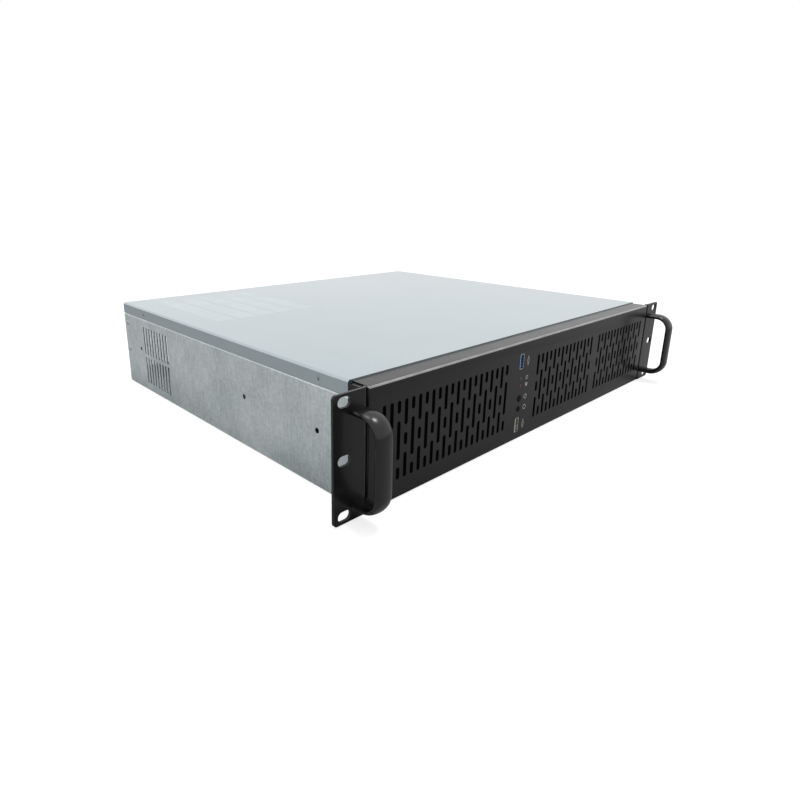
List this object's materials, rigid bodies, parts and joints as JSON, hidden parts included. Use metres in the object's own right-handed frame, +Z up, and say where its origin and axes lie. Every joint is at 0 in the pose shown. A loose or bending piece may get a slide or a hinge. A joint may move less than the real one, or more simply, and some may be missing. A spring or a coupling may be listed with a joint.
{
  "type": "rackmount server case",
  "caption": "Empty two-unit rackmount case: galvanised tray and lid, black slotted front with rack ears, bow handles, ports, lights and buttons.",
  "frame": {"origin": "middle of the footprint, on the surface that the case stands on", "axes": "+X to the right seen from the front, +Y from the front to the rear, +Z up"},
  "size_m": [0.4826, 0.4078, 0.088],
  "materials": {
    "galvanised": "hot-dip galvanised sheet with a fine spangle",
    "galvanised_lid": "smooth pale galvanised sheet",
    "black_coat": "satin black powder coat",
    "brass": "turned",
    "foam": "open cell black foam",
    "circuit_board": "solder mask",
    "white_plastic": "moulded",
    "blue_plastic": "moulded",
    "black_plastic": "moulded",
    "green_lens": "clear tinted acrylic",
    "red_lens": "clear tinted acrylic",
    "nickel": "bright nickel plate",
    "zinc": "zinc plated",
    "black_zinc": "black zinc plated"
  },
  "bodies": {
    "case": {"chassis_tray": "galvanised", "rear_panel": "galvanised", "top_cover": "galvanised_lid", "front_fascia": "black_coat", "left_ear": "black_coat", "right_ear": "black_coat", "left_handle": "black_coat", "right_handle": "black_coat", "fan_bracket": "galvanised", "drive_cage": "galvanised", "psu_bracket": "galvanised", "board_standoffs": "brass", "slot_covers": "galvanised", "filter_mats": "foam", "io_board": "circuit_board", "io_spacers": "white_plastic", "usb3_shell": "nickel", "usb2_shell": "nickel", "usb3_tongue": "blue_plastic", "usb2_tongue": "white_plastic", "power_light_pipe": "green_lens", "drive_light_pipe": "red_lens", "status_leds": "white_plastic", "switch_bodies": "black_plastic", "lid_side_screws": "zinc", "lid_rear_screws": "zinc", "fascia_screws": "black_zinc", "slot_cover_screws": "zinc", "drive_cage_screws": "zinc", "io_board_screws": "zinc", "handle_screws": "black_zinc", "frame_rivets": "zinc"},
    "power_button": {"power_button": "black_plastic", "power_plunger": "white_plastic"},
    "reset_button": {"reset_button": "black_plastic", "reset_plunger": "white_plastic"}
  },
  "joints": [
    {"name": "power_button_press", "type": "slide", "parent": "case", "child": "power_button", "axis": [0, 1, 0], "range_m": [0, 0.001], "stiffness_N_per_m": 800, "springref_m": -0.0005},
    {"name": "reset_button_press", "type": "slide", "parent": "case", "child": "reset_button", "axis": [0, 1, 0], "range_m": [0, 0.001], "stiffness_N_per_m": 800, "springref_m": -0.0005}
  ]
}
